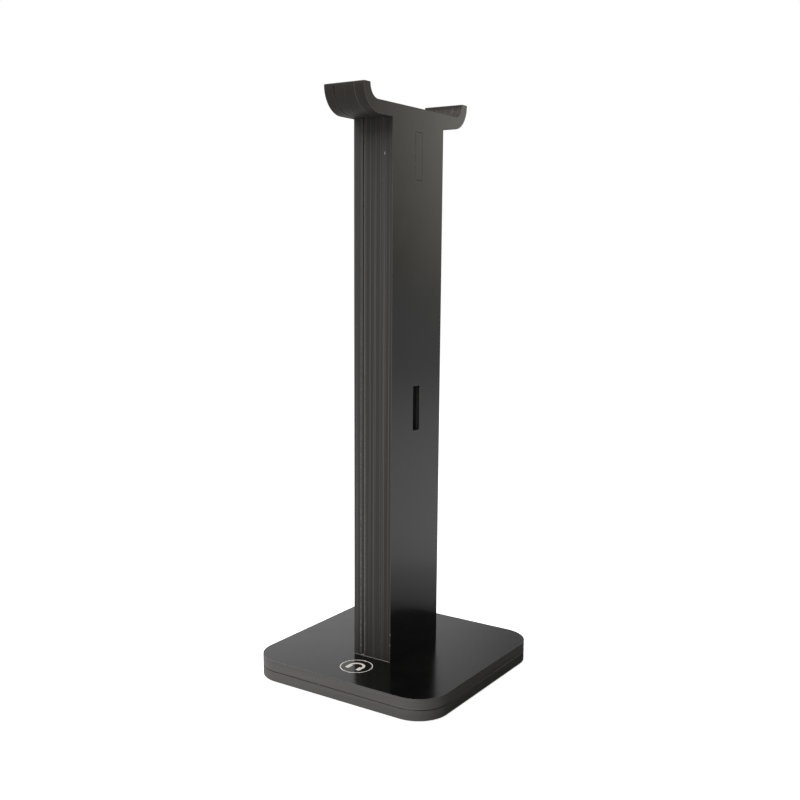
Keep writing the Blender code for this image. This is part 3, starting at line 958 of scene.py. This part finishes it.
# ---- Rubber feet ----
# Four round pads of soft black rubber, pressed and stuck into shallow pockets under the corners.
# Each has a rounded rim and a ring groove, so that it grips the table.
RUBBER_BLACK = (0.014, 0.014, 0.015)
RUBBER_BLOOM = (0.032, 0.031, 0.030)
foot_rubber, tree, place = new_material("foot_rubber_matt")
pores = noise(tree, place, scale=1800.0, detail=4.0, roughness=0.65)
bloom = remap(tree, noise(tree, place, scale=160.0, detail=3.0), 0.40, 0.70)
set_look(tree, {
    "Base Color": blend_colour(tree, bloom, RUBBER_BLACK, RUBBER_BLOOM),
    "Roughness": remap(tree, pores, 0.3, 0.7, 0.68, 0.90),
    "Normal": bump(tree, pores, strength=0.5, distance=0.05 * MM),
})

FOOT_ROUND = 0.3 * MM
GROOVE = 0.25 * MM
# The underside of a foot from its middle outwards, as shares of the radius and depths.
FOOT_SOLE = (
    (0, GROOVE), (0.30, GROOVE), (0.36, 0), (0.66, 0), (0.70, GROOVE), (0.76, GROOVE), (0.80, 0), (1, 0),
)
for foot in FEET:
    foot_low, foot_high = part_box(foot)
    middle = (foot_low + foot_high) / 2
    radius = (foot_high.x - foot_low.x) / 2
    profile = [(share * radius, foot_low.z + depth) for share, depth in FOOT_SOLE]
    profile += [(radius, foot_high.z), (0, foot_high.z)]
    bm = bmesh.new()
    spin_profile(bm, profile, middle, steps=64, closed=False)
    on_rim = {
        v for v in bm.verts
        if abs((v.co.xy - middle.xy).length - radius) < TOUCH and v.co.z < foot_low.z + TOUCH
    }
    rim = [e for e in bm.edges if on_rim.issuperset(e.verts)]
    round_over(bm, rim, FOOT_ROUND, segments=4)
    smooth_by_angle(bm)
    new_piece(foot + "_pad", bm, (foot_rubber,), foot)


# ---- Post screws ----
# Two black countersunk machine screws with a hexagon socket. They go up through the lower sheet
# into the foot of the upright and pull the base and the post together.
OXIDE_DARK = (0.012, 0.012, 0.013)
OXIDE_LIGHT = (0.035, 0.034, 0.033)
BARE_STEEL = (0.30, 0.29, 0.28)
screw_black, tree, place = new_material("screw_black_oxide")
blotch = noise(tree, place, scale=900.0, detail=4.0)
blotchy = remap(tree, blotch, 0.38, 0.68)
wear = remap(tree, noise(tree, place, scale=2600.0, detail=2.0), 0.66, 0.74)
oxide = blend_colour(tree, blotchy, OXIDE_DARK, OXIDE_LIGHT)
set_look(tree, {
    "Base Color": blend_colour(tree, wear, oxide, BARE_STEEL),
    "Metallic": wear,
    "Roughness": remap(tree, blotchy, to_low=0.34, to_high=0.52),
    "Normal": bump(tree, blotch, strength=0.3, distance=0.03 * MM),
})

SOCKET_RADIUS = 2.5 * MM / math.sqrt(3)
SOCKET_DEPTH = 1.4 * MM
HEAD_CHAMFER = 0.15 * MM
SHANK = 2.0 * MM
SHANK_PLAIN = 2.2 * MM
THREAD_ROOT = 1.72 * MM
THREAD_PITCH = 0.7 * MM
for screw in SCREWS:
    screw_low, screw_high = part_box(screw)
    middle = (screw_low + screw_high) / 2
    head = (screw_high.x - screw_low.x) / 2
    profile = [
        (head - HEAD_CHAMFER, screw_low.z),
        (head, screw_low.z + HEAD_CHAMFER),
        (head, screw_low.z + HEAD_RIM),
        (SHANK, screw_low.z + HEAD_DEPTH),
    ]
    thread_z = screw_low.z + HEAD_DEPTH + SHANK_PLAIN
    while thread_z < screw_high.z - THREAD_PITCH:
        profile += [(SHANK, thread_z), (THREAD_ROOT, thread_z + THREAD_PITCH / 2)]
        thread_z += THREAD_PITCH
    profile += [(THREAD_ROOT, screw_high.z), (0, screw_high.z)]
    bm = bmesh.new()
    spin_profile(bm, profile, middle, steps=48, closed=False)
    rim = loop_at(bm, screw_low.z)
    mouth = add_ring(bm, SOCKET_RADIUS, middle.x, middle.y, screw_low.z, steps=6)
    fill_between(bm, rim + mouth, finish=0)
    pushed = bmesh.ops.extrude_edge_only(bm, edges=mouth)
    sunk = [v for v in pushed["geom"] if isinstance(v, bmesh.types.BMVert)]
    bmesh.ops.translate(bm, vec=(0, 0, SOCKET_DEPTH), verts=sunk)
    bmesh.ops.contextual_create(bm, geom=[e for e in edges_of(sunk) if e.is_boundary])
    bmesh.ops.recalc_face_normals(bm, faces=bm.faces[:])
    smooth_by_angle(bm)
    new_piece(screw + "_body", bm, (screw_black,), screw)


# ---- Threaded inserts ----
# Two short brass sleeves, knurled outside in two bands and bored for the screws, set into the foot
# of the upright before it was bonded. The screws bite into them.
BRASS_DEEP = (0.72, 0.50, 0.20)
BRASS_BRIGHT = (0.86, 0.64, 0.30)
BRASS_TARNISH = (0.38, 0.24, 0.09)
brass, tree, place = new_material("insert_brass_turned")
turning = new_node(tree, "ShaderNodeMapping", {"Vector": place, "Scale": (1.0, 1.0, 12.0)})
turned = noise(tree, turning.outputs[0], scale=700.0, detail=3.0)
tarnish = remap(tree, noise(tree, place, scale=350.0, detail=3.0), 0.45, 0.75)
bright = blend_colour(tree, remap(tree, turned, 0.35, 0.65), BRASS_DEEP, BRASS_BRIGHT)
set_look(tree, {
    "Base Color": blend_colour(tree, tarnish, bright, BRASS_TARNISH),
    "Metallic": 1.0,
    "Roughness": remap(tree, tarnish, to_low=0.22, to_high=0.42),
    "Normal": bump(tree, turned, strength=0.3, distance=0.02 * MM),
})

INSERT_BORE = 2.3 * MM
KNURL_DEPTH = 0.12 * MM
KNURL_GAP = 0.05 * MM
BAND_SHARE = 0.25
SLOPE_END = 1.2
STEEP = 0.1
for insert in ("threaded_insert_front", "threaded_insert_rear"):
    insert_low, insert_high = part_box(insert)
    middle = (insert_low + insert_high) / 2
    outside = (insert_high.x - insert_low.x) / 2 - KNURL_DEPTH
    waist = outside - KNURL_DEPTH
    band = BAND_SHARE * (insert_high.z - insert_low.z)
    band_and_slope = SLOPE_END * band
    profile = (
        (INSERT_BORE, insert_low.z),
        (outside, insert_low.z),
        (outside, insert_low.z + band),
        (waist, insert_low.z + band_and_slope),
        (waist, insert_high.z - band_and_slope),
        (outside, insert_high.z - band),
        (outside, insert_high.z),
        (INSERT_BORE, insert_high.z),
    )
    bm = bmesh.new()
    spin_profile(bm, profile, middle, steps=60, closed=True)
    bands = [
        f for f in bm.faces
        if abs(f.normal.z) < STEEP
        and (f.calc_center_median().xy - middle.xy).length > outside - 0.3 * KNURL_DEPTH
    ]
    bmesh.ops.inset_individual(bm, faces=bands, thickness=KNURL_GAP, depth=KNURL_DEPTH)
    bmesh.ops.recalc_face_normals(bm, faces=bm.faces[:])
    smooth_by_angle(bm)
    new_piece(insert + "_sleeve", bm, (brass,), insert)
